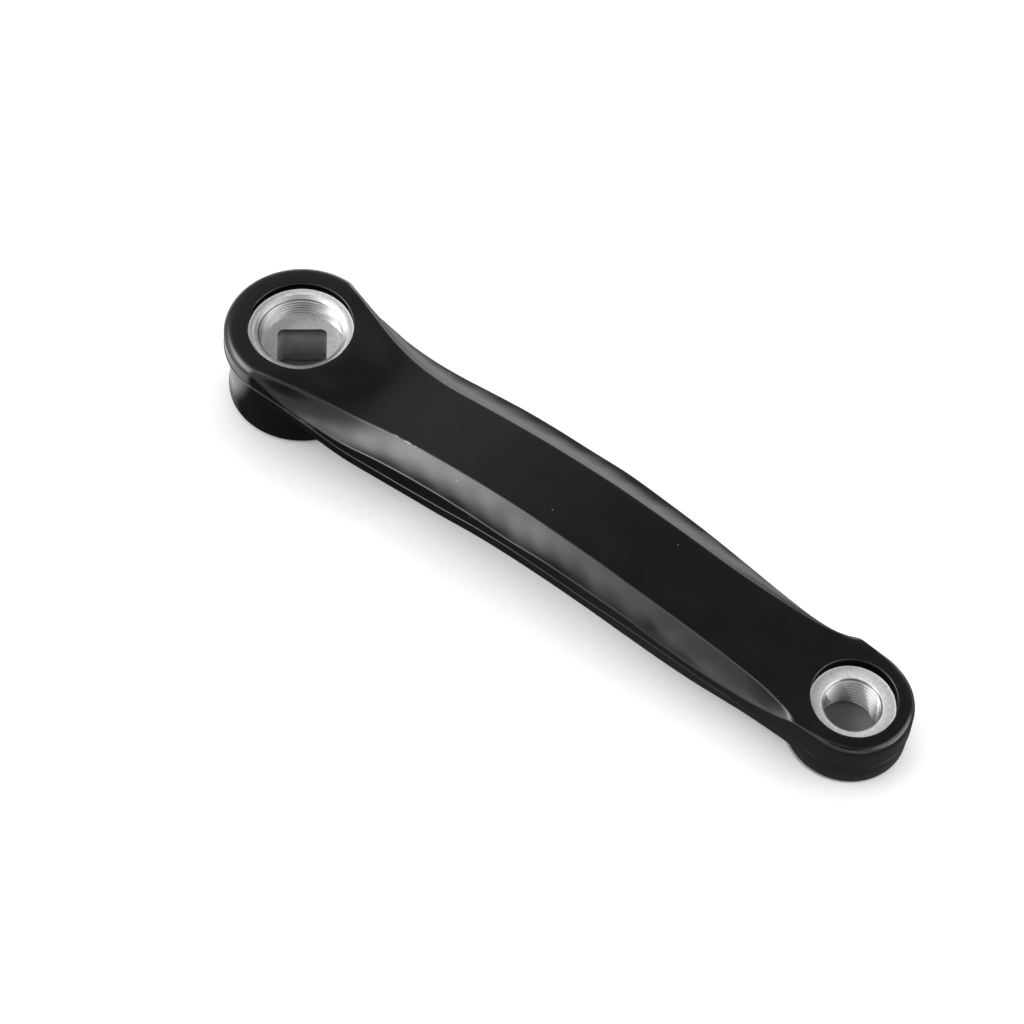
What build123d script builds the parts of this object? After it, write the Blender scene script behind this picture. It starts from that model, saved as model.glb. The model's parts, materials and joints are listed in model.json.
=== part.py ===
from build123d import *
from math import radians, tan
import os

# One-piece square-taper crank arm, forged and coated, machined in its bores.
# Origin on the spindle axis at the inner face of the boss, X to the pedal axis, Z outward.

# Whole arm
crank_length = 170.0
boss_height = 23.7
eye_radius = 19.9
tip_radius = 14.7

# Step in at the parting line, bevel along the underside and draft of the flanks
parting_step = 1.0
under_bevel = 1.2
draft = 0.25

# Stations along the arm. Rise is the bow of the outer face seen from the side, spine and flank
# are half-widths of the flat outer face and of the plate, scoop is the drop between the two.
# Parting and depth are the drops from the outer face to the parting line and to the underside.
eye_spine = 18.5
eye_scoop = 1.7
eye_parting = 6.2
eye_depth = 12.0
root_x = 11.0
root_rise = -0.6
root_spine = 15.4
root_flank = 18.7
root_scoop = 5.4
root_parting = 6.5
root_depth = 11.6
dip_x = 28.0
dip_rise = -2.85
dip_spine = 11.45
dip_flank = 17.6
dip_scoop = 4.5
dip_parting = 7.1
dip_depth = 11.9
level_x = 50.0
mid_spine = 10.0
mid_flank = 17.0
mid_scoop = 3.5
level_parting = 8.2
level_depth = 13.0
crest_x = 92.0
crest_rise = 3.45
crest_parting = 6.6
crest_depth = 11.6
fall_x = 118.0
fall_rise = 2.3
fall_flank = 15.3
fall_scoop = 2.6
fall_parting = 7.7
fall_depth = 13.3
neck_inset = 24.0
neck_rise = 0.6
neck_spine = 10.75
neck_flank = 14.65
neck_scoop = 4.6
neck_parting = 7.6
neck_depth = 12.4
point_inset = 13.0
point_spine = 11.6
point_scoop = 3.9
tip_inset = 5.5
tip_spine = 12.6
tip_round = 2.1
tip_parting = 7.6
tip_depth = 12.0
hollow = 0.7
crown = 0.45

# Spindle boss
lip_radius = 19.55
lip_height = 3.6
lip_land = 0.8

# Pedal disc on the inner side
disc_radius = 14.6
disc_depth = 14.26
disc_gap = 0.6

# Spindle bore: counterbore, extractor thread M22 x 1 (tap size), taper socket
seat_radius = 13.5
seat_depth = 2.35
extractor_radius = 10.46
extractor_depth = 10.0
extractor_mouth = 12.2
extractor_sink = 1.0
socket_small = 12.7
socket_taper = 2.0
socket_corner = 1.6
socket_turn = 40.0

# Pedal bore: counterbore, thread 9/16 in x 20 (tap size)
pedal_seat_radius = 10.25
pedal_seat_depth = 3.2
pedal_radius = 6.46
pedal_chamfer = 0.9

edge_break = 0.4


def plate_section(x, rise, spine, flank, scoop, bulge, drop):
    """Upright section above the parting line: flat spine, scooped shoulders, drafted flanks."""
    top = boss_height + rise
    edge = top - scoop
    parting = top - drop
    slope = ((flank - spine) ** 2 + scoop**2) ** 0.5
    mid_y = (spine + flank) / 2 + bulge * scoop / slope
    mid_z = (top + edge) / 2 + bulge * (flank - spine) / slope
    edges = [
        Line((-spine, top), (spine, top)),
        ThreePointArc((spine, top), (mid_y, mid_z), (flank, edge)),
        Line((flank, edge), (flank + draft, parting)),
        Line((flank + draft, parting), (-flank - draft, parting)),
        Line((-flank - draft, parting), (-flank, edge)),
        ThreePointArc((-flank, edge), (-mid_y, mid_z), (-spine, top)),
    ]
    return Plane(origin=(x, 0, 0), x_dir=(0, 1, 0), z_dir=(1, 0, 0)) * make_face(edges)


def under_section(x, rise, flank, drop, depth):
    """Upright section below the parting line: a step in from the plate, bevelled lower edges."""
    top = boss_height + rise - drop + parting_step
    bottom = boss_height + rise - depth
    width = 2 * (flank + draft - parting_step)
    block = Rectangle(width, top - bottom)
    lower = block.vertices().sort_by(Axis.Y)[:2]
    profile = Pos(0, (top + bottom) / 2) * chamfer(lower, under_bevel)
    return Plane(origin=(x, 0, 0), x_dir=(0, 1, 0), z_dir=(1, 0, 0)) * profile


def with_round_ends(sections):
    """Loft through the sections, run straight to the pedal axis, closed by half turns at both bores."""
    right_half = Pos(0, eye_radius, 0) * Box(4 * crank_length, 2 * eye_radius, 8 * boss_height)
    eye_end = revolve(sections[0] & right_half, Axis.Z, 180)
    tip_run = extrude(sections[-1], tip_inset)
    last = Pos(tip_inset, 0, 0) * sections[-1]
    tip_end = revolve(last & right_half, Axis((crank_length, 0, 0), (0, 0, 1)), -180)
    return loft(sections) + eye_end + tip_run + tip_end


# Stations from the spindle to the pedal: x, rise, spine, flank, scoop, bulge of the shoulder,
# parting and depth
point_x = crank_length - point_inset
tip_x = crank_length - tip_inset
tip_flank = tip_radius - draft
stations = [
    (0, 0, eye_spine, eye_radius - draft, eye_scoop, -hollow / 4, eye_parting, eye_depth),
    (root_x, root_rise, root_spine, root_flank, root_scoop, -hollow, root_parting, root_depth),
    (dip_x, dip_rise, dip_spine, dip_flank, dip_scoop, -hollow, dip_parting, dip_depth),
    (level_x, 0, mid_spine, mid_flank, mid_scoop, -hollow, level_parting, level_depth),
    (crest_x, crest_rise, mid_spine, mid_flank, mid_scoop, -hollow, crest_parting, crest_depth),
    (fall_x, fall_rise, mid_spine, fall_flank, fall_scoop, -hollow, fall_parting, fall_depth),
    (
        crank_length - neck_inset, neck_rise, neck_spine, neck_flank, neck_scoop, -hollow,
        neck_parting, neck_depth,
    ),
    (point_x, 0, point_spine, tip_flank, point_scoop, -hollow, tip_parting, tip_depth),
    (tip_x, 0, tip_spine, tip_flank, tip_round, crown, tip_parting, tip_depth),
]
plate = with_round_ends(
    [
        plate_section(x, rise, spine, flank, scoop, bulge, drop)
        for x, rise, spine, flank, scoop, bulge, drop, _ in stations
    ]
)
under = with_round_ends(
    [under_section(x, rise, flank, drop, depth) for x, rise, _, flank, _, _, drop, depth in stations]
)

# Spindle boss: a straight wall that flares to a lip at the inner face
boss_radius = eye_radius - parting_step
wall = Line((boss_radius, boss_height - eye_parting), (boss_radius, lip_height))
flare = TangentArc(wall @ 1, (lip_radius, lip_land), tangent=wall % 1)
boss_profile = make_face(
    [
        wall,
        flare,
        Line(flare @ 1, (lip_radius, edge_break)),
        Line((lip_radius, edge_break), (lip_radius - edge_break, 0)),
        Line((lip_radius - edge_break, 0), (0, 0)),
        Line((0, 0), (0, boss_height - eye_parting)),
        Line((0, boss_height - eye_parting), wall @ 0),
    ]
)
boss = revolve(Plane.XZ * boss_profile, Axis.Z)

# Pedal disc below the plate, with a narrow gap under the parting line
disc_height = disc_depth - tip_parting - disc_gap
disc = Cylinder(disc_radius, disc_height, align=(Align.CENTER, Align.CENTER, Align.MIN))
disc = chamfer(disc.edges().filter_by(GeomType.CIRCLE), edge_break)
disc = Pos(crank_length, 0, boss_height - disc_depth) * disc

arm = plate + under + boss + disc

# Spindle bore: counterbore, countersunk extractor bore, square socket widening inward
socket_depth = boss_height - extractor_depth
spread = 2 * socket_depth * tan(radians(socket_taper))
small_end = Pos(0, 0, socket_depth) * RectangleRounded(socket_small, socket_small, socket_corner)
large_side = socket_small + spread
large_end = RectangleRounded(large_side, large_side, socket_corner)
spindle_bore = [
    Pos(0, 0, boss_height) * Cylinder(seat_radius, 2 * seat_depth),
    Pos(0, 0, boss_height) * Cylinder(extractor_radius, 2 * extractor_depth),
    Pos(0, 0, boss_height - seat_depth - extractor_sink / 2)
    * Cone(extractor_radius, extractor_mouth, extractor_sink),
    Rot(0, 0, socket_turn) * loft([large_end, small_end]),
]

# Pedal bore: counterbore and a through bore, chamfered at both ends
disc_base = boss_height - disc_depth
pedal_seat = boss_height - pedal_seat_depth
pedal_bore = [
    Pos(crank_length, 0, boss_height) * Cylinder(pedal_seat_radius, 2 * pedal_seat_depth),
    Pos(crank_length, 0, boss_height) * Cylinder(pedal_radius, 4 * disc_depth),
    Pos(crank_length, 0, pedal_seat - pedal_chamfer / 2)
    * Cone(pedal_radius, pedal_radius + pedal_chamfer, pedal_chamfer),
    Pos(crank_length, 0, disc_base + pedal_chamfer / 2)
    * Cone(pedal_radius + pedal_chamfer, pedal_radius, pedal_chamfer),
]
arm = arm - spindle_bore - pedal_bore

os.makedirs("parts", exist_ok=True)
export_step(arm, "parts/crank_arm.step")
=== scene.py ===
import json
import math
import bmesh
import bpy
import numpy as np
from mathutils import Matrix, Vector


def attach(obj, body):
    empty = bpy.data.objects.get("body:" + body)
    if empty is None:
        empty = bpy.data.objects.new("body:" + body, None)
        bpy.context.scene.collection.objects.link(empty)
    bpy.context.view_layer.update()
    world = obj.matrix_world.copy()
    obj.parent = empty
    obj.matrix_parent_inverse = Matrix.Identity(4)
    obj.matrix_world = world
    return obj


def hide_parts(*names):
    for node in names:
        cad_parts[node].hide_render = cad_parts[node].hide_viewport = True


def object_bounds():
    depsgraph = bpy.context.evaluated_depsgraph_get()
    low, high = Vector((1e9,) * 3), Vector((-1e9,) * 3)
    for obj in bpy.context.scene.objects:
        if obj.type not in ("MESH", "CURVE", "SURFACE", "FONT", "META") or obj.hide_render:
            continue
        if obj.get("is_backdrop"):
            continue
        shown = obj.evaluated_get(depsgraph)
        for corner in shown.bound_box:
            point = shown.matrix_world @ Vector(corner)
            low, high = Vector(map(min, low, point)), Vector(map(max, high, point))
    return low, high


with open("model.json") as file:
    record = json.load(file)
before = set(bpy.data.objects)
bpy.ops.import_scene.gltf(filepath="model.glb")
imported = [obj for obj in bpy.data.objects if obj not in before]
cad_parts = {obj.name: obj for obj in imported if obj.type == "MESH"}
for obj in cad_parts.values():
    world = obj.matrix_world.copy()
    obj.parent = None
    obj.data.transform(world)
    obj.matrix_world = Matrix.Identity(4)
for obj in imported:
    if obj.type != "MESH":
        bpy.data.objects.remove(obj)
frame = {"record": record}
cad_low, cad_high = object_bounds()

# The forged arm. A bar of forged aluminium with a flat outer face that dips behind the spindle eye
# and bows outward along the middle, hollow scoops along both flanks, and all round the line where
# the dies met. One half is worked out from the spindle eye to the pedal eye and mirrored later.
MM = 0.001
mounts = {mount["name"]: mount for mount in frame["record"]["mounts"]}
crank_length = mounts["pedal_thread"]["pos_m"][0] / MM
eye_radius = -cad_low.x / MM
pedal_seat = mounts["pedal_seat"]["pos_m"][2] / MM
pedal_seat_depth = 3.2
outer_face = pedal_seat + pedal_seat_depth
draft = 0.25
parting_step = 1.0
crease_round = 0.22
eye_crease, crease_end, crease_fade = 0.6, 34.0, 24.0
lump_height, lump_start, lump_end, lump_fade = 0.05, 8.0, 152.0, 8.0
long_length, long_sway, long_sway_length, long_slant = 2.3, 1.8, 9.7, 2.0
short_length, short_sway, short_sway_length, short_slant, short_share = 1.45, 2.0, 13.0, 1.25, 0.5
flank_round, flank_fade_start, flank_fade = 0.4, 157.0, 6.0
edge_round, end_round, round_start, round_length = 0.08, 2.1, 161.0, 13.0
eye_flat, flat_fade, oval = 13.8, 14.2, 1.67

# Stations along the arm. Rise is the bow of the outer face, spine and flank are half-widths of the
# flat face and of the plate, scoop and hollow are the fall and the sag between the two, parting and
# depth are the drops from the outer face to the parting line and to the underside.
STATIONS = ("x", "rise", "spine", "flank", "scoop", "hollow", "parting", "depth")
stations = np.array([
    (0.0, 0.0, 18.5, 19.65, 1.4, 0.0, 6.2, 12.0),
    (4.5, -0.15, 17.35, 19.3, 3.6, 0.3, 6.4, 11.8),
    (11.0, -0.95, 15.4, 18.7, 5.5, 0.7, 6.5, 11.6),
    (20.0, -2.3, 13.0, 18.0, 5.2, 0.85, 6.6, 11.6),
    (28.0, -2.85, 11.45, 17.6, 4.6, 0.85, 7.1, 11.9),
    (38.0, -1.9, 10.2, 17.0, 3.8, 0.75, 7.8, 12.7),
    (50.0, 0.0, 9.9, 16.9, 3.4, 0.7, 8.2, 13.0),
    (60.0, 1.4, 9.9, 17.0, 3.3, 0.68, 7.8, 12.8),
    (70.0, 2.5, 9.95, 17.05, 3.6, 0.72, 7.0, 12.0),
    (80.0, 3.15, 10.0, 17.1, 3.9, 0.75, 6.4, 11.5),
    (92.0, 3.45, 10.1, 16.9, 3.3, 0.66, 6.7, 11.6),
    (104.0, 3.15, 10.1, 16.6, 3.5, 0.58, 7.0, 11.8),
    (116.0, 2.4, 10.1, 16.25, 3.6, 0.46, 6.6, 12.1),
    (128.0, 1.55, 10.1, 15.95, 4.5, 0.6, 6.5, 12.0),
    (140.0, 0.85, 10.45, 15.25, 5.0, 0.7, 7.2, 12.1),
    (150.0, 0.4, 11.05, 14.6, 4.8, 0.5, 7.6, 12.3),
    (153.0, 0.25, 11.4, 14.5, 4.4, 0.4, 7.6, 12.2),
    (156.0, 0.1, 11.95, 14.45, 3.6, 0.3, 7.6, 12.1),
    (159.0, 0.0, 12.6, 14.45, 2.3, 0.1, 7.6, 12.0),
    (162.0, 0.0, 13.5, 14.45, 0.4, 0.0, 7.6, 12.0),
    (165.0, 0.0, 13.9, 14.45, 0.05, 0.0, 7.6, 12.0),
    (crank_length, 0.0, 13.9, 14.45, 0.05, 0.0, 7.6, 12.0),
])


def along_arm(x, name):
    """A station size at any x: cubic Hermite curves between stations, slopes by central differences."""
    at = stations[:, 0]
    size = stations[:, STATIONS.index(name)]
    slope = np.gradient(size, at)
    x = np.clip(x, at[0], at[-1])
    i = np.clip(np.searchsorted(at, x, side="right") - 1, 0, len(at) - 2)
    step = at[i + 1] - at[i]
    t = (x - at[i]) / step
    start = (1 + 2 * t) * (1 - t) ** 2 * size[i] + t * (1 - t) ** 2 * step * slope[i]
    end = t**2 * (3 - 2 * t) * size[i + 1] + t**2 * (t - 1) * step * slope[i + 1]
    return start + end


def soft_min(a, b, width):
    """The smaller of two heights, with the crease between them rounded over about the given width."""
    return (a + b - np.sqrt((a - b) ** 2 + width**2)) / 2


def roll_over(inset, radius):
    """Drop of a quarter round of this radius, at this inset from the edge it rounds."""
    rest = np.clip(radius - inset, 0, radius)
    return radius - np.sqrt(radius**2 - rest**2)


def top_height(x, y):
    """Height of the outer face: level round the spindle eye, then the bow of the arm. The bow comes in
    over an oval ring round the eye, narrower across the arm."""
    ring = np.clip((np.sqrt(x**2 + (oval * y) ** 2) - eye_flat) / flat_fade, 0, 1)
    return outer_face + along_arm(x, "rise") * ring**2 * (3 - 2 * ring)


def forge_lumps(x, r):
    """Slow lumps that the dies leave in the scoops: two slanting sine waves along the arm, whose phase
    sways so that no two lumps are alike, fading at both ends. Lengths are in mm for each radian."""
    fade = np.clip(np.minimum(x - lump_start, lump_end - x) / lump_fade, 0, 1)
    long_wave = np.sin(x / long_length + long_sway * np.sin(x / long_sway_length) + r / long_slant)
    short_wave = np.sin(x / short_length + short_sway * np.sin(x / short_sway_length) - r / short_slant)
    return lump_height * fade * (long_wave + short_share * short_wave)


def face_height(x, r):
    """Height of the outer side at x, r from the middle: the lower of the flat face, rolled over at its
    edge, and the scoop, a hollow parabola from the spine line down to the flank."""
    top = top_height(x, r)
    to_tip = np.clip((x - round_start) / round_length, 0, 1)
    tip_round = edge_round + (end_round - edge_round) * to_tip
    past_scoop = np.clip((x - flank_fade_start) / flank_fade, 0, 1)
    scoop_round = flank_round + (edge_round - flank_round) * past_scoop
    spine = along_arm(x, "spine")
    flank = along_arm(x, "flank")
    hollow = along_arm(x, "hollow")
    t = (r - spine) / (flank - spine)
    plain = top - roll_over(flank - r, tip_round)
    sag = 4 * np.maximum(hollow, 0) * t * (1 - np.clip(t, 0, 1))
    scooped = top - along_arm(x, "scoop") * t - sag - roll_over(flank - r, scoop_round)
    scooped = scooped + forge_lumps(x, r) * np.clip(4 * t * (1 - t), 0, 1)
    crease = crease_round + eye_crease * np.clip((crease_end - x) / crease_fade, 0, 1)
    return soft_min(plain, scooped, crease)


def outer_height(x, y):
    """Height of the outer side at a plan point: past either bore, r is the distance from its axis."""
    r = np.hypot(x - np.clip(x, 0, crank_length), y)
    return face_height(np.clip(x, 0, crank_length), r)


def under_height(x):
    """Height of the arm's underside at x: the outer face's height less the arm's depth there."""
    return outer_face + along_arm(x, "rise") - along_arm(x, "depth")


def lerp(a, b, steps):
    """Points from a to b, without a, as new rows along axis 1: a plus equal shares of the way to b."""
    share = np.arange(1, steps + 1)[None, :, None] / steps
    return a[:, None] + share * (b - a)[:, None]


def bend(a, corner, b, steps):
    """Points from a to b, without a, on the parabola whose end tangents meet at the corner."""
    t = np.arange(1, steps + 1)[None, :, None] / steps
    return (1 - t) ** 2 * a[:, None] + 2 * t * (1 - t) * corner[:, None] + t**2 * b[:, None]


# Walk along one half of the outline: a quarter turn round the spindle eye, a fan from the eye to
# the arm, the arm, a fan to the pedal eye and a quarter turn round it. Each step has a start and a
# direction outward; the fans spread from the round eyes to upright sections of the arm.
rim_round = 0.3
seat_radius = 13.5
pedal_seat_radius = 10.25
eye_steps, arm_steps, tip_steps = 48, 150, 52
fan_start, fan_end = 24.0, 150.0
eye_turn = np.linspace(-np.pi / 2, np.pi / 2, 2 * eye_steps + 1)
tip_turn = np.linspace(np.pi / 2, -np.pi / 2, 2 * tip_steps + 1)
arm_share = np.linspace(0, 1, arm_steps + 1)[1:-1]
eye_way = np.stack([np.sin(eye_turn), -np.cos(eye_turn)], 1)
tip_way = np.stack([-np.sin(tip_turn), -np.cos(tip_turn)], 1)


def inner_loop(eye_ring, tip_ring):
    """Plan points of a loop round both eyes at these radii, joined along the middle of the arm."""
    middle = eye_ring + (crank_length - tip_ring - eye_ring) * arm_share
    eye = eye_way * eye_ring
    tip = np.array([crank_length, 0.0]) + tip_way * tip_ring
    return np.concatenate([eye, np.stack([middle, 0 * middle], 1), tip])


walk_x = np.concatenate([
    np.maximum(eye_turn, 0) / (np.pi / 2) * fan_start,
    fan_start + (fan_end - fan_start) * arm_share,
    crank_length - np.maximum(tip_turn, 0) / (np.pi / 2) * (crank_length - fan_end),
])
outward = np.tile([0.0, -1.0], (len(walk_x), 1))
outward[: len(eye_turn)][eye_turn < 0] = eye_way[eye_turn < 0]
outward[-len(tip_turn):][tip_turn < 0] = tip_way[tip_turn < 0]
start = np.stack([walk_x, 0 * walk_x], 1)


def at(r, z):
    """Points at r outward from each step of the walk, at height z."""
    plan = start + outward * np.reshape(r, (-1, 1))
    return np.column_stack([plan, np.broadcast_to(z, len(plan))])


# Outer side, from the bore rims to the flank. Rows lie close together at the crease and at the edge.
face_rows, edge_rows = 8, 14
crease_inset, crease_half = 0.7, 0.6
spine = along_arm(walk_x, "spine")
flank = along_arm(walk_x, "flank")
inner = inner_loop(seat_radius + rim_round, pedal_seat_radius + rim_round)
inner = np.column_stack([inner, outer_height(inner[:, 0], inner[:, 1])])
crease = np.minimum(spine, flank - end_round - crease_inset)
face = lerp(inner, at(crease - crease_half, 0), face_rows)
face[:, :, 2] = outer_height(face[:, :, 0], face[:, :, 1])
share = np.linspace(0, 1, face_rows + 1)[1:]
edge_share = np.sin(np.linspace(0, np.pi / 2, edge_rows + 1)[1:])
r_crease = (crease - crease_half)[:, None] + 2 * crease_half * share
r_scoop = (crease + crease_half)[:, None] + (flank - end_round - crease - crease_half)[:, None] * share
r_edge = (flank - end_round)[:, None] + end_round * edge_share
r_side = np.concatenate([r_crease, r_scoop, r_edge], 1)
round_tip = np.concatenate([0 * eye_turn, 0 * arm_share, np.maximum(-tip_turn, 0) * flank[-1]])
z_side = face_height((walk_x + round_tip)[:, None], r_side)
side = np.concatenate([start[:, None] + outward[:, None] * r_side[:, :, None], z_side[:, :, None]], 2)

# Flank, the parting line with a thin flash and a step under it, and the lower band
parting_round = 0.25
parting_room, parting_soft, step_fall = 0.3, 0.2, 0.15
flash_width = 0.2
band_step, band_start_x, band_end_x, band_fade = 0.6, 8.0, 150.0, 16.0
flank_foot = side[:, -1]
eye_share = np.clip((lump_start + lump_fade - walk_x) / lump_fade, 0, 1)
wall_r = flank + draft - flash_width * eye_share
die_line = outer_face + along_arm(walk_x, "rise") - along_arm(walk_x, "parting")
parting = soft_min(die_line, z_side[:, -1] - parting_room, parting_soft)
flash = flash_width * np.clip((lump_end - walk_x) / lump_fade, 0, 1)
wall_end = at(wall_r, parting + parting_round + flash)
flash_edge = at(wall_r + flash, parting + parting_round)
wall = np.concatenate([lerp(flank_foot, wall_end, 5), lerp(wall_end, flash_edge, 2)], 1)
step_start = at(wall_r - parting_round, parting)
parting_edge = bend(flash_edge, at(wall_r + flash, parting), step_start, 3)
along_band = np.clip(np.minimum(walk_x - band_start_x, band_end_x - walk_x) / band_fade, 0, 1)
band_out = (parting_step - band_step) * along_band**2 * (3 - 2 * along_band)
band_r = flank + draft - parting_step + band_out
band_start = at(band_r, parting - step_fall)
step_in = lerp(step_start, band_start, 2)

# Underside, in to the spindle boss, the middle of the arm and the pedal disc. Round the tip the band
# ends in a narrow groove above the disc.
under_round, trim_least, trim_share = 0.9, 0.05, 0.45
boss_radius = eye_radius - parting_step
disc_radius, disc_depth, disc_gap = 14.6, 14.26, 0.6
disc_edge, disc_top_edge = 0.4, 0.12
disc_base = outer_face - disc_depth
groove_height = outer_face - stations[-1, STATIONS.index("parting")] - disc_gap
groove_start, groove_fade = np.radians(24), np.radians(8)
eye_lift, eye_lift_length = 0.4, 3.0
groove = np.concatenate([
    0 * eye_turn,
    0 * arm_share,
    np.clip((groove_start - tip_turn) / groove_fade, 0, 1),
])
groove = groove**2 * (3 - 2 * groove)
near_groove = groove[-len(tip_turn):]
under = np.concatenate([
    eye_way * boss_radius,
    np.stack([boss_radius + (crank_length - disc_radius - boss_radius) * arm_share, 0 * arm_share], 1),
    np.array([crank_length, 0.0]) + tip_way * (disc_radius - disc_top_edge * near_groove)[:, None],
])
under_z = under_height(under[:, 0]) * (1 - groove) + groove_height * groove
under = np.column_stack([under, under_z])
lift = eye_lift * np.clip(1 - np.maximum(walk_x, 0) / eye_lift_length, 0, 1)
low_z = (under_height(walk_x) + lift) * (1 - groove) + groove_height * groove
low = at(band_r, low_z)
reach = np.linalg.norm(under - low, axis=1)
trim = np.minimum(under_round * (1 - groove) + trim_least, trim_share * reach)
band_end = low + np.array([0, 0, 1.0]) * trim[:, None]
low_end = low + (under - low) * (trim / reach)[:, None]
band = lerp(band_start, band_end, 3)
low_edge = bend(band_end, low, low_end, 5)
belly = lerp(low_end, under, 5)
flat_part = 1 - groove[:, None]
belly[:, :, 2] = under_height(belly[:, :, 0]) * flat_part + belly[:, :, 2] * (1 - flat_part)
belly[:, -1] = under
half = np.concatenate([inner[:, None], face, side, wall, parting_edge, step_in, band, low_edge, belly], 1)

# The spindle boss and its bore: a turned boss with a flared lip, a counterbore, a bare bore with
# the extractor thread cut in it, and a square taper socket broached through to the inner face.
extractor_radius = mounts["extractor_thread"]["dims"]["r_mm"]
extractor_cut, extractor_pitch = 0.54, 1.0
extractor_major = extractor_radius + extractor_cut
extractor_mouth, extractor_sink = 12.2, 1.0
eye_floor = mounts["bolt_seat"]["pos_m"][2] / MM
seat_depth = 2.35
seat = outer_face - seat_depth
thread_flat = 0.1
socket_small, socket_taper, socket_corner, socket_turn = 12.7, math.radians(2), 1.6, math.radians(40)
socket_large = socket_small + 2 * eye_floor * math.tan(socket_taper)
lip_radius, lip_height, lip_land, lip_break = 19.55, 3.6, 0.8, 0.4


def square_radius(angle, side, corner):
    """Polar radius of a square with rounded corners: the flat it meets, or else the corner's arc."""
    u = np.abs(np.cos(angle - socket_turn))
    v = np.abs(np.sin(angle - socket_turn))
    a = side / 2
    b = a - corner
    along = b * (u + v)
    arc = along + np.sqrt(np.maximum(along**2 - 2 * b**2 + corner**2, 0))
    flat = a / np.maximum(u, v)
    return np.where(flat * np.minimum(u, v) <= b, flat, arc)


def thread_radius(angle, z, minor, major, pitch, hand):
    """Radius of a thread's wall at angle and height: a triangle wave along a helix, cut flat at its crests
    and roots."""
    phase = z / pitch - hand * angle / (2 * np.pi)
    wave = np.abs(2 * (phase - np.floor(phase)) - 1)
    return minor + (major - minor) * np.clip((wave - thread_flat) / (1 - 2 * thread_flat), 0, 1)


def rim_ring(radius, rim_z):
    """Rows of a rounded bore rim: a quarter round from the outer face down to the wall at this radius."""
    return [
        (radius + rim_round * (1 - math.sin(q)), rim_z - rim_round * (1 - math.cos(q))) for q in quarter
    ]


def ring_grid(angle, centre_x, rows):
    """Points of rings, one for each row (radius, height), which may vary with the angle."""
    r = np.stack([np.broadcast_to(row[0], angle.shape) for row in rows], 1)
    z = np.stack([np.broadcast_to(row[1], angle.shape) for row in rows], 1)
    return np.stack([centre_x + r * np.cos(angle)[:, None], r * np.sin(angle)[:, None], z], 2)


def thread_depths(angle, rows):
    """Share of the thread's depth at each point of the rings, nothing for rows outside the thread."""
    return np.stack([np.broadcast_to(row[2] if len(row) > 2 else 0.0, angle.shape) for row in rows], 1)


BLACK_COAT, TURNED, THREAD, SOCKET, WALL_SHADE_COAT = range(5)
quarter = np.linspace(0, np.pi / 2, 6)
rim_rows = len(quarter) - 1
eye_angle = np.pi + np.arange(4 * eye_steps) * (np.pi / 2 / eye_steps)

# Rim, counterbore and its seat, with a small fillet in the corner
seat_fillet, seat_land = 0.1, 0.6
mouth_land, mouth_break, mouth_drop = 0.2, 0.06, 0.02
rim = seat_radius + rim_round
spindle_rows = rim_ring(seat_radius, outer_height(rim * np.cos(eye_angle), rim * np.sin(eye_angle)))
spindle_seat = len(spindle_rows)
spindle_rows += [(seat_radius, seat + seat_fillet), (seat_radius - seat_fillet, seat)]
spindle_rows += [(seat_radius - seat_land, seat), (extractor_mouth + mouth_land, seat)]
spindle_rows += [(extractor_mouth + mouth_break, seat - mouth_drop)]

# Extractor thread in its countersunk bore, then a plain relief down to the floor
thread_start, thread_stop, thread_rows = 0.15, 0.7, 57
relief_top, floor_fillet, floor_break = 0.55, 0.1, 0.15
sink_slope = (extractor_mouth - extractor_radius) / extractor_sink
thread_first = len(spindle_rows)
for z in np.linspace(seat - thread_start, eye_floor + thread_stop, thread_rows):
    cone = extractor_mouth - (seat - z) * sink_slope
    cut = thread_radius(eye_angle, z, extractor_radius, extractor_major, extractor_pitch, 1)
    depth = np.where(cut > cone, (cut - extractor_radius) / extractor_cut, 0)
    spindle_rows.append((np.maximum(cut, cone), z, depth))
thread_last = len(spindle_rows)
spindle_rows += [(extractor_major, eye_floor + relief_top), (extractor_major, eye_floor + floor_fillet)]
spindle_rows += [(extractor_major - floor_break, eye_floor)]

# Floor, the square socket widening inward, and the inner face
socket_rows = 12
mouth = square_radius(eye_angle, socket_small, socket_corner)
spindle_rows += [(extractor_major + (mouth - extractor_major) * t, eye_floor) for t in (0.4, 0.8, 1.0)]
socket_first = len(spindle_rows) - 1
for t in np.linspace(0, 1, socket_rows + 1)[1:]:
    height = eye_floor * (1 - t)
    side_here = socket_small + 2 * (eye_floor - height) * math.tan(socket_taper)
    spindle_rows.append((square_radius(eye_angle, side_here, socket_corner), height))
socket_last = len(spindle_rows) - 1
base_edge = square_radius(eye_angle, socket_large, socket_corner)
spindle_rows += [(base_edge + (lip_radius - lip_break - base_edge) * t, 0.0) for t in (0.3, 0.65, 1.0)]

# Lip, flare and wall of the boss, up to the underside of the arm
spindle_rows += [
    (lip_radius - lip_break * (1 - math.sin(q)), lip_break * (1 - math.cos(q))) for q in quarter[1:]
]
spindle_rows += [(lip_radius, lip_land)]
flare, flare_rows = lip_radius - boss_radius, 8
for t in np.linspace(0, 1, flare_rows + 1)[1:]:
    spindle_rows.append((lip_radius - flare * (1 - (1 - t) ** 2), lip_land + (lip_height - lip_land) * t))
boss_top = under_height(np.maximum(boss_radius * np.cos(eye_angle), 0))
for t in (0.33, 0.67, 1.0):
    spindle_rows.append((boss_radius, lip_height + (boss_top - lip_height) * t))
spindle = ring_grid(eye_angle, 0.0, spindle_rows)
spindle_bands = [
    # The counterbore walls get the darker matt coat of painted shade.
    (rim_rows, spindle_seat, WALL_SHADE_COAT),
    (spindle_seat, socket_first, TURNED),
    (thread_first, thread_last, THREAD),
    (socket_first, socket_last, SOCKET),
]

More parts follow.
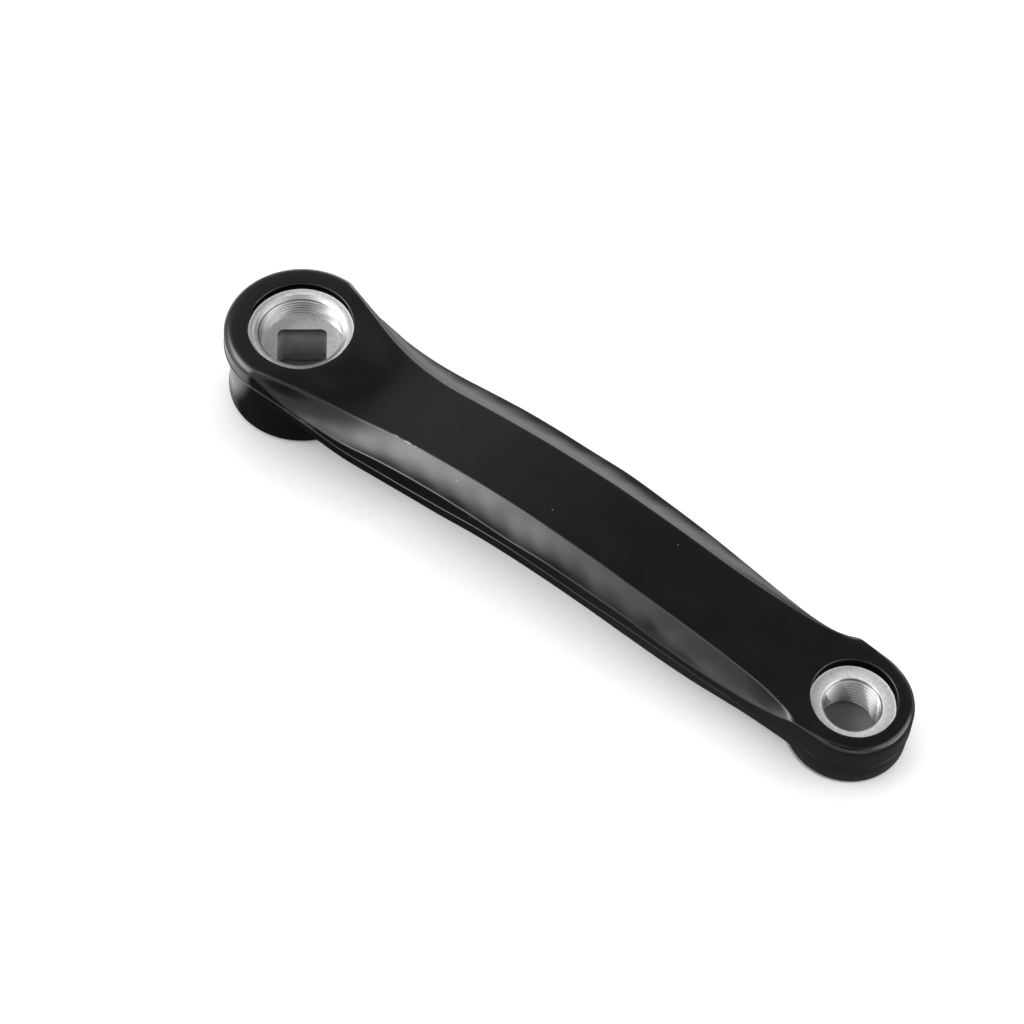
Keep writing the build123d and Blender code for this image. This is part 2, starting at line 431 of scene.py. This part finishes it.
# The pedal eye and its bore: a counterbore with a bare flat seat, the pedal thread cut right
# through, left-hand on this arm, and a turned disc that stands proud on the inner side.
pedal_radius = mounts["pedal_thread"]["dims"]["r_mm"]
pedal_cut, pedal_pitch = 0.68, 1.27
pedal_major = pedal_radius + pedal_cut
pedal_chamfer = 0.9
pedal_mouth = pedal_radius + pedal_chamfer
pedal_land, pedal_break, pedal_drop = 0.3, 0.08, 0.06
pedal_start, pedal_stop, pedal_thread_rows = 0.15, 0.1, 70
base_break, base_middle = 0.05, 0.75
wall_gap, top_share = 0.02, 0.3
tip_angle = np.pi + np.arange(4 * tip_steps) * (np.pi / 2 / tip_steps)
rim = pedal_seat_radius + rim_round
rim_z = outer_height(crank_length + rim * np.cos(tip_angle), rim * np.sin(tip_angle))
pedal_rows = rim_ring(pedal_seat_radius, rim_z)
seat_row = len(pedal_rows)
pedal_rows += [(pedal_seat_radius, pedal_seat + seat_fillet), (pedal_seat_radius - seat_fillet, pedal_seat)]
pedal_rows += [(pedal_seat_radius - seat_land, pedal_seat), (pedal_mouth + pedal_land, pedal_seat)]
pedal_rows += [(pedal_mouth + pedal_break, pedal_seat - pedal_drop)]
pedal_first = len(pedal_rows)
for z in np.linspace(pedal_seat - pedal_start, disc_base + pedal_stop, pedal_thread_rows):
    cone = pedal_mouth - np.minimum(pedal_seat - z, z - disc_base)
    cut = thread_radius(tip_angle, z, pedal_radius, pedal_major, pedal_pitch, -1)
    depth = np.where(cut > cone, (cut - pedal_radius) / pedal_cut, 0)
    pedal_rows.append((np.maximum(cut, cone), z, depth))
pedal_last = len(pedal_rows)
pedal_rows += [(pedal_mouth + base_break, disc_base), (disc_radius * base_middle, disc_base)]
pedal_rows += [(disc_radius - disc_edge, disc_base)]
pedal_rows += [
    (disc_radius - disc_edge * (1 - math.sin(q)), disc_base + disc_edge * (1 - math.cos(q)))
    for q in quarter[1:]
]
near_top = under[-len(tip_turn):, 2]
ring_top = np.concatenate([near_top, near_top[1:-1][::-1]])
edge_here = disc_top_edge * np.concatenate([near_groove, near_groove[1:-1][::-1]])
wall_foot = disc_base + disc_edge
for t in (0.5, 1.0):
    pedal_rows.append((disc_radius, wall_foot + (ring_top - edge_here - wall_gap - wall_foot) * t))
pedal_rows += [(disc_radius - top_share * edge_here, ring_top - top_share * edge_here)]
pedal_rows += [(disc_radius - edge_here, ring_top)]
pedal = ring_grid(tip_angle, crank_length, pedal_rows)
pedal_bands = [
    # The counterbore walls get the darker matt coat of painted shade.
    (rim_rows, seat_row, WALL_SHADE_COAT),
    (seat_row, pedal_first, TURNED),
    (pedal_first, pedal_last, THREAD),
]


# The finished arm is one piece, so the grids are joined into one closed mesh. Its faces carry a black
# coat, apart from the bores, which were machined after coating and are bare.
def quads(grid, first, closed):
    """Corner numbers of the four-sided faces of a grid whose points are numbered from first."""
    steps, rows = grid.shape[:2]
    i = np.arange(steps if closed else steps - 1)[:, None]
    j = np.arange(rows - 1)[None, :]
    here = first + i * rows + j
    there = first + (i + 1) % steps * rows + j
    return np.stack([here, there, there + 1, here + 1], 2)


def surfaces(grid, bands, closed):
    """Material numbers of a grid's faces: the coat, apart from bands (first row, last row, number)."""
    steps, rows = grid.shape[:2]
    number = np.full((steps if closed else steps - 1, rows - 1), BLACK_COAT)
    for first, last, material in bands:
        number[:, first:last] = material
    return number


merge_distance = 0.001 * MM
sharp_edge = math.radians(50)
far_half = half * np.array([1.0, -1.0, 1.0])
grids = [
    (half, [], False),
    (far_half, [], False),
    (spindle, spindle_bands, True),
    (pedal, pedal_bands, True),
]
points, faces, numbers = [], [], []
count = 0
for grid, bands, closed in grids:
    faces.append(quads(grid, count, closed).reshape(-1, 4))
    numbers.append(surfaces(grid, bands, closed).ravel())
    points.append(grid.reshape(-1, 3))
    count += len(points[-1])
mesh = bpy.data.meshes.new("coated_crank_arm")
mesh.from_pydata((np.concatenate(points) * MM).tolist(), [], np.concatenate(faces).tolist())
mesh.polygons.foreach_set("material_index", np.concatenate(numbers).astype(np.int32))
depths = np.zeros(len(mesh.vertices))
spindle_depths = thread_depths(eye_angle, spindle_rows).ravel()
pedal_depths = thread_depths(tip_angle, pedal_rows).ravel()
depths[-len(spindle_depths) - len(pedal_depths):] = np.concatenate([spindle_depths, pedal_depths])
mesh.attributes.new("thread_depth", "FLOAT", "POINT").data.foreach_set("value", depths)
joined = bmesh.new()
joined.from_mesh(mesh)
bmesh.ops.remove_doubles(joined, verts=joined.verts, dist=merge_distance)
bmesh.ops.dissolve_degenerate(joined, edges=joined.edges, dist=merge_distance)
bmesh.ops.recalc_face_normals(joined, faces=joined.faces)
joined.to_mesh(mesh)
joined.free()
mesh.shade_smooth()
mesh.set_sharp_from_angle(angle=sharp_edge)
arm = bpy.data.objects.new("coated_crank_arm", mesh)
bpy.context.scene.collection.objects.link(arm)
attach(arm, "root")
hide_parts("crank_arm")


def linear(code):
    """Linear colour, with alpha, of an sRGB hex value."""
    shades = [int(code[i:i + 2], 16) / 255 for i in (1, 3, 5)]
    return [s / 12.92 if s <= 0.04045 else ((s + 0.055) / 1.055) ** 2.4 for s in shades] + [1.0]


def add_node(tree, kind, output, inputs, **settings):
    """Adds a node with its settings and links, and gives back one of its outputs. Inputs are values, or the
    sockets that feed them, by socket name or in the order of the sockets."""
    made = tree.nodes.new(kind)
    for name, value in settings.items():
        setattr(made, name, value)
    for name, value in inputs.items() if isinstance(inputs, dict) else enumerate(inputs):
        if isinstance(value, bpy.types.NodeSocket):
            tree.links.new(value, made.inputs[name])
        else:
            made.inputs[name].default_value = value
    return made.outputs[output]


# Black coat: a baked satin paint over the forging. It is nearly even, with a soft sheen that shows the
# slow waves of the forged metal under it and a faint orange peel. Along one crease a painted highlight
# is laid on in short pale dashes, and a few specks of dust lie on the coat.
SOFT = {"interpolation_type": "SMOOTHSTEP"}
COLOUR = {"data_type": "RGBA"}
forge_wave, wave_height = 9 * MM, 0.04 * MM
peel_size, peel_height = 0.7 * MM, 0.002 * MM
coat_gloss = (0.17, 0.22)
glint_start, glint_full, glint_wane, glint_end = 38.5 * MM, 40.5 * MM, 46 * MM, 49 * MM
glint_side = float(-along_arm(43.0, "spine") * MM)
glint_core, glint_width, glint_low, glint_high = 0.06 * MM, 0.2 * MM, 17 * MM, 18 * MM
dash_length, dash_edge, glint_strength = 1.5 * MM, (0.4, 0.55), 0.6
dust_gap, dust_size, dust_strength = 5 * MM, 0.17 * MM, 0.7
coat = bpy.data.materials.new("satin_black_paint")
coat.use_nodes = True
tree = coat.node_tree
shader = tree.nodes["Principled BSDF"]
place = add_node(tree, "ShaderNodeTexCoord", "Object", {})
coat_x, coat_y, coat_z = add_node(tree, "ShaderNodeSeparateXYZ", "X", {"Vector": place}).node.outputs
waves = add_node(tree, "ShaderNodeTexNoise", "Fac", {"Vector": place, "Scale": 1 / forge_wave, "Detail": 1})
peel = add_node(tree, "ShaderNodeTexNoise", "Fac", {"Vector": place, "Scale": 1 / peel_size, "Detail": 2})
black = {"Factor": waves, "A": linear("#0f0f10"), "B": linear("#151516")}
tone = add_node(tree, "ShaderNodeMix", "Result", black, **COLOUR)
relief = {"Height": waves, "Distance": wave_height, "Strength": 1}
bump = add_node(tree, "ShaderNodeBump", "Normal", relief)
relief = {"Height": peel, "Distance": peel_height, "Strength": 1, "Normal": bump}
bump = add_node(tree, "ShaderNodeBump", "Normal", relief)
gloss = add_node(tree, "ShaderNodeMapRange", "Result", (waves, 0.3, 0.7, *coat_gloss))
# Painted highlight: a pale streak in short dashes along the near crease, about 38 to 49 mm along the arm.
offset = add_node(tree, "ShaderNodeMath", 0, (coat_y, glint_side), operation="SUBTRACT")
offset = add_node(tree, "ShaderNodeMath", 0, (offset,), operation="ABSOLUTE")
broken = {"Vector": place, "Scale": 1 / dash_length, "Detail": 1}
dashes = add_node(tree, "ShaderNodeTexNoise", "Fac", broken)
glint = 1.0
for limits in (
    (coat_x, glint_start, glint_full, 0, 1),
    (coat_x, glint_wane, glint_end, 1, 0),
    (coat_z, glint_low, glint_high, 0, 1),
    (offset, glint_core, glint_width, 1, 0),
    (dashes, *dash_edge, 0, glint_strength),
):
    share = add_node(tree, "ShaderNodeMapRange", "Result", limits, **SOFT)
    glint = add_node(tree, "ShaderNodeMath", 0, (glint, share), operation="MULTIPLY")
cells = add_node(tree, "ShaderNodeTexVoronoi", "Distance", {"Vector": place, "Scale": 1 / dust_gap})
limits = (cells, 0.5 * dust_size / dust_gap, dust_size / dust_gap, dust_strength, 0)
dust = add_node(tree, "ShaderNodeMapRange", "Result", limits, **SOFT)
pale = add_node(tree, "ShaderNodeMath", 0, (glint, dust), operation="MAXIMUM")
# The pale colour is painted highlight along the crease and real dust elsewhere.
glint_and_dust = {"Factor": pale, "A": tone, "B": linear("#b8b8b8")}
tone = add_node(tree, "ShaderNodeMix", "Result", glint_and_dust, **COLOUR)
shader.inputs["Specular IOR Level"].default_value = 0.71
tree.links.new(tone, shader.inputs["Base Color"])
tree.links.new(gloss, shader.inputs["Roughness"])
tree.links.new(bump, shader.inputs["Normal"])

# Bare metal: forged aluminium, turned and tapped after coating. The turned seats are dull and blotchy
# from the tool, half-way to a plain grey, and carry a few dark specks of swarf. The threads are
# brighter, with painted shade darkening their roots.
speck_gap, speck_size, speck_core, mark_size = 2.2 * MM, 0.16 * MM, 0.6, 0.9 * MM
bare = []
for name, roughness, shade, light, metallic in (
    ("turned_aluminium", (0.8, 0.92), "#cececf", "#fbfbfc", 0.55),
    ("tapped_aluminium", (0.36, 0.48), "#c4c4c5", "#d6d6d7", 1.0),
):
    metal = bpy.data.materials.new(name)
    metal.use_nodes = True
    tree = metal.node_tree
    shader = tree.nodes["Principled BSDF"]
    shader.inputs["Metallic"].default_value = metallic
    place = add_node(tree, "ShaderNodeTexCoord", "Object", {})
    tool_marks = {"Vector": place, "Scale": 1 / mark_size, "Detail": 3}
    marks = add_node(tree, "ShaderNodeTexNoise", "Fac", tool_marks)
    gloss = add_node(tree, "ShaderNodeMapRange", "Result", (marks, 0, 1, *roughness))
    grey = {"Factor": marks, "A": linear(shade), "B": linear(light)}
    tone = add_node(tree, "ShaderNodeMix", "Result", grey, **COLOUR)
    # Painted shade: the colour darkens toward the roots of the threads, by the share of the thread's depth.
    root = add_node(tree, "ShaderNodeAttribute", "Fac", {}, attribute_name="thread_depth")
    root_shaded = {"Factor": root, "A": tone, "B": linear("#4c4c4d")}
    tone = add_node(tree, "ShaderNodeMix", "Result", root_shaded, **COLOUR)
    cells = add_node(tree, "ShaderNodeTexVoronoi", "Distance", {"Vector": place, "Scale": 1 / speck_gap})
    limits = (cells, speck_core * speck_size / speck_gap, speck_size / speck_gap, 1, 0)
    speck = add_node(tree, "ShaderNodeMapRange", "Result", limits)
    specked = {"Factor": speck, "A": tone, "B": linear("#565656")}
    tone = add_node(tree, "ShaderNodeMix", "Result", specked, **COLOUR)
    tree.links.new(tone, shader.inputs["Base Color"])
    tree.links.new(gloss, shader.inputs["Roughness"])
    bare.append(metal)

# Dull skin of the broached socket: grey with paler blotches at random, and painted shade darkening it
# toward its mouth.
blotch_size = 3 * MM
mouth_shade_start, mouth_shade_end = 9.5 * MM, 13.7 * MM
socket = bpy.data.materials.new("grey_socket_skin")
socket.use_nodes = True
tree = socket.node_tree
shader = tree.nodes["Principled BSDF"]
place = add_node(tree, "ShaderNodeTexCoord", "Object", {})
socket_z = add_node(tree, "ShaderNodeSeparateXYZ", "Z", {"Vector": place})
blotches = {"Vector": place, "Scale": 1 / blotch_size, "Detail": 2}
blotch = add_node(tree, "ShaderNodeTexNoise", "Fac", blotches)
blotched = {"Factor": blotch, "A": linear("#b0b0b0"), "B": linear("#e4e4e4")}
tone = add_node(tree, "ShaderNodeMix", "Result", blotched, **COLOUR)
# Painted shade: darker toward the socket's mouth.
mouth_shade = add_node(tree, "ShaderNodeMapRange", "Result", (socket_z, mouth_shade_start, mouth_shade_end, 0, 1), **SOFT)
mouth_shaded = {"Factor": mouth_shade, "A": tone, "B": linear("#4c4c4c")}
tone = add_node(tree, "ShaderNodeMix", "Result", mouth_shaded, **COLOUR)
tree.links.new(tone, shader.inputs["Base Color"])
shader.inputs["Roughness"].default_value = 0.6
shader.inputs["Specular IOR Level"].default_value = 0.2
bare.append(socket)

# Painted shade on the walls of the counterbores: the coat there is matt and darker.
wall_shade = bpy.data.materials.new("matt_black_paint")
wall_shade.use_nodes = True
shader = wall_shade.node_tree.nodes["Principled BSDF"]
shader.inputs["Base Color"].default_value = linear("#030303")
shader.inputs["Roughness"].default_value = 0.5
shader.inputs["Specular IOR Level"].default_value = 0.02
for material in (coat, *bare, wall_shade):
    mesh.materials.append(material)

# Pale floor. The arm lies on the lip of its boss and the edge of its pedal disc, so the floor leans
# a little against the arm's own frame. White paper glows to the camera, with painted shadow close to
# the arm and painted shade inside the footprints of the boss and the disc. To other rays it is dark
# grey; in reflections it is paler behind the arm, with painted light glowing behind the arm and past
# the spindle eye.
floor_half = 3.0
paper_glow = 0.86
shade_reach = 0.03
shade_lean = (-0.3, 0.9, 0.0)
rest_boss = Vector((lip_radius - lip_break, 0, 0)) * MM
rest_disc = Vector((crank_length + disc_radius - disc_edge, 0, disc_base)) * MM
disc_middle = Vector((crank_length, 0, disc_base)) * MM
lean = math.atan2(rest_disc.z - rest_boss.z, rest_disc.x - rest_boss.x)
floor_x = Vector((math.cos(lean), 0, math.sin(lean))) * floor_half
floor_y = Vector((0, floor_half, 0))
corners = [rest_boss + floor_x * i + floor_y * j for i, j in ((-1, -1), (1, -1), (1, 1), (-1, 1))]
floor_mesh = bpy.data.meshes.new("floor")
floor_mesh.from_pydata([tuple(c) for c in corners], [], [(0, 1, 2, 3)])
floor = bpy.data.objects.new("floor", floor_mesh)
bpy.context.scene.collection.objects.link(floor)
floor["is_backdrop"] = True
paper = bpy.data.materials.new("white_paper")
paper.use_nodes = True
tree = paper.node_tree
tree.nodes.remove(tree.nodes["Principled BSDF"])
ray = add_node(tree, "ShaderNodeLightPath", "Is Camera Ray", {}).node.outputs
spot = add_node(tree, "ShaderNodeTexCoord", "Object", {})
spot_x, spot_y, _ = add_node(tree, "ShaderNodeSeparateXYZ", "X", {"Vector": spot}).node.outputs
upright = add_node(tree, "ShaderNodeNewGeometry", "Normal", {})
leaning = add_node(tree, "ShaderNodeVectorMath", "Vector", (upright, shade_lean))
leaning = add_node(tree, "ShaderNodeVectorMath", "Vector", (leaning,), operation="NORMALIZE")
# Painted shadow: the glow to the camera is cut by ambient occlusion with a normal leaning to the back,
# darkening the floor close to the arm.
near = {"Distance": shade_reach, "Normal": leaning}
glow = add_node(tree, "ShaderNodeAmbientOcclusion", "AO", near, samples=8)
factors = [ray["Is Camera Ray"], paper_glow]
# Painted shade: no glow inside the footprints of the boss and the pedal disc, seen through the bores.
for centre, radius in (((0, 0, 0), boss_radius), (disc_middle, disc_radius)):
    away = add_node(tree, "ShaderNodeVectorMath", "Value", (spot, centre), operation="DISTANCE")
    factors.append(add_node(tree, "ShaderNodeMath", 0, (away, radius * MM), operation="GREATER_THAN"))
for factor in factors:
    glow = add_node(tree, "ShaderNodeMath", 0, (glow, factor), operation="MULTIPLY")
# Painted light for reflections: glossy rays see the floor glow behind the arm, past the spindle eye and
# faintly toward the pedal end.
behind_near, behind_far, right_fade, ahead, past_eye, pale = (
    add_node(tree, "ShaderNodeMapRange", "Result", limits, **SOFT)
    for limits in (
        (spot_y, 0.02, 0.06, 0, 0.45),
        (spot_y, 0.07, 0.17, 0, 0.55),
        (spot_x, 0.14, 0.2, 1, 0.3),
        (spot_x, 0.03, 0.15, 0, 0.1),
        (spot_x, -0.01, -0.017, 0, 0.9),
        (spot_y, 0.03, 0.08, 0, 1),
    )
)
behind = add_node(tree, "ShaderNodeMath", 0, (behind_near, behind_far))
behind = add_node(tree, "ShaderNodeMath", 0, (behind, right_fade), operation="MULTIPLY")
ahead = add_node(tree, "ShaderNodeMath", 0, (ahead, past_eye))
mirror = add_node(tree, "ShaderNodeMath", 0, (behind, ahead), operation="MAXIMUM")
mirror = add_node(tree, "ShaderNodeMath", 0, (ray["Is Glossy Ray"], mirror), operation="MULTIPLY")
glow = add_node(tree, "ShaderNodeMath", 0, (glow, mirror))
# The floor's colour is pale to the camera and, in reflections, behind the arm; dark grey to all other rays.
pale = add_node(tree, "ShaderNodeMath", 0, (ray["Is Glossy Ray"], pale), operation="MULTIPLY")
pale = add_node(tree, "ShaderNodeMath", 0, (pale, ray["Is Camera Ray"]), operation="MAXIMUM")
paper_tone = {"Factor": pale, "A": linear("#363636"), "B": linear("#b4b4b4")}
tone = add_node(tree, "ShaderNodeMix", "Result", paper_tone, **COLOUR)
body = add_node(tree, "ShaderNodeBsdfDiffuse", "BSDF", {"Color": tone})
glow = add_node(tree, "ShaderNodeEmission", "Emission", {"Color": linear("#ffffff"), "Strength": glow})
both = add_node(tree, "ShaderNodeAddShader", "Shader", (body, glow))
tree.links.new(both, tree.nodes["Material Output"].inputs["Surface"])
floor_mesh.materials.append(paper)

# Soft studio light: a surround that is brightest at the front left and fades to the right, to the back
# and low on the left, with a dark patch where the camera stands, a pale strip low at the back, a
# broad glow on the right that reaches the seats in the bores, and one small panel beside the tip.
left_edge, left_full, left_power, left_gain, front_level = 0.02, -0.7, 1.83, 6.8, 1.12
camera_side = Vector((0.3156, -0.4516, 0.8346)).normalized()
right_side = Vector((0.78, 0.3, 0.55)).normalized()
world = bpy.data.worlds.new("studio")
bpy.context.scene.world = world
world.use_nodes = True
tree = world.node_tree
to_camera = add_node(tree, "ShaderNodeLightPath", "Is Camera Ray", {})
sky = add_node(tree, "ShaderNodeTexCoord", "Generated", {})
sky_x, sky_y, sky_z = add_node(tree, "ShaderNodeSeparateXYZ", "X", {"Vector": sky}).node.outputs
toward_camera, toward_right = (
    add_node(tree, "ShaderNodeVectorMath", "Value", (sky, way), operation="DOT_PRODUCT")
    for way in (camera_side, right_side)
)
leftward = add_node(tree, "ShaderNodeMapRange", "Result", (sky_x, left_edge, left_full))
leftward = add_node(tree, "ShaderNodeMath", 0, (leftward, left_power), operation="POWER")
leftward = add_node(tree, "ShaderNodeMath", 0, (leftward, left_gain), operation="MULTIPLY")
leftward = add_node(tree, "ShaderNodeMath", 0, (leftward, front_level))
front_limits = (
    (sky_y, 0.25, -0.8, 0.05, 1),
    (sky_y, -0.62, -0.98, 1, 0.5),
    (toward_camera, 0.94, 0.985, 1, 0),
)
low_left_limits = (
    (sky_x, -0.15, -0.35, 0, 0.75),
    (sky_z, 0.2, 0.42, 1, 0),
)
back_limits = (
    (sky_z, 0.08, 0.5, 1.3, 0.16),
    (sky_y, 0.45, 0.75, 0, 1),
    (sky_x, -0.05, 0.25, 1, 0.3),
)
parts = []
for part, steps in ((leftward, front_limits), (1.0, low_left_limits), (1.0, back_limits)):
    for limits in steps:
        share = add_node(tree, "ShaderNodeMapRange", "Result", limits, **SOFT)
        part = add_node(tree, "ShaderNodeMath", 0, (part, share), operation="MULTIPLY")
    parts.append(part)
front, low_left, back_strip = parts
kept = add_node(tree, "ShaderNodeMath", 0, (1.0, low_left), operation="SUBTRACT")
front = add_node(tree, "ShaderNodeMath", 0, (front, kept), operation="MULTIPLY")
right_glow = add_node(tree, "ShaderNodeMapRange", "Result", (toward_right, 0.82, 0.94, 0, 1.9), **SOFT)
total = add_node(tree, "ShaderNodeMath", 0, (front, back_strip))
total = add_node(tree, "ShaderNodeMath", 0, (total, right_glow))
level = add_node(tree, "ShaderNodeMix", "Result", {"Factor": to_camera, "A": total, "B": 1.0})
tree.links.new(level, tree.nodes["Background"].inputs["Strength"])
tree.nodes["Background"].inputs["Color"].default_value = linear("#ffffff")
panel_way = Vector((0.9, 0.42, 0.3)).normalized()
panel_distance = 0.7
panel = bpy.data.lights.new("right_panel", "AREA")
panel.shape = "RECTANGLE"
panel.size = 0.5
panel.size_y = 0.25
panel.energy = 0.7
holder = bpy.data.objects.new("right_panel", panel)
holder.location = Vector((crank_length / 2, 0, outer_face)) * MM + panel_way * panel_distance
holder.rotation_mode = "QUATERNION"
holder.rotation_quaternion = panel_way.to_track_quat("Z", "Y")
bpy.context.scene.collection.objects.link(holder)

# Camera at the photo's angle, found from the circles of both bores and the edges of the outer face
view_azimuth, view_elevation, view_roll = math.radians(34.945), math.radians(56.575), math.radians(3.976)
view_distance = 589.233
view_aim = Vector((76.697, -10.342, outer_face))
level_right = Vector((math.cos(view_azimuth), math.sin(view_azimuth), 0))
back = Vector((
    math.sin(view_azimuth) * math.cos(view_elevation),
    -math.cos(view_azimuth) * math.cos(view_elevation),
    math.sin(view_elevation),
))
level_up = back.cross(level_right)
right = level_right * math.cos(view_roll) + level_up * math.sin(view_roll)
up = back.cross(right)
camera = bpy.data.objects.new("camera", bpy.data.cameras.new("camera"))
camera.data.sensor_width = 36.0
camera.data.lens = 85.376
turn = Matrix((right, up, back)).transposed().to_4x4()
camera.matrix_world = Matrix.Translation((view_aim + back * view_distance) * MM) @ turn
bpy.context.scene.collection.objects.link(camera)
bpy.context.scene.camera = camera
bpy.context.scene.view_settings.view_transform = "Standard"

low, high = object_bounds()
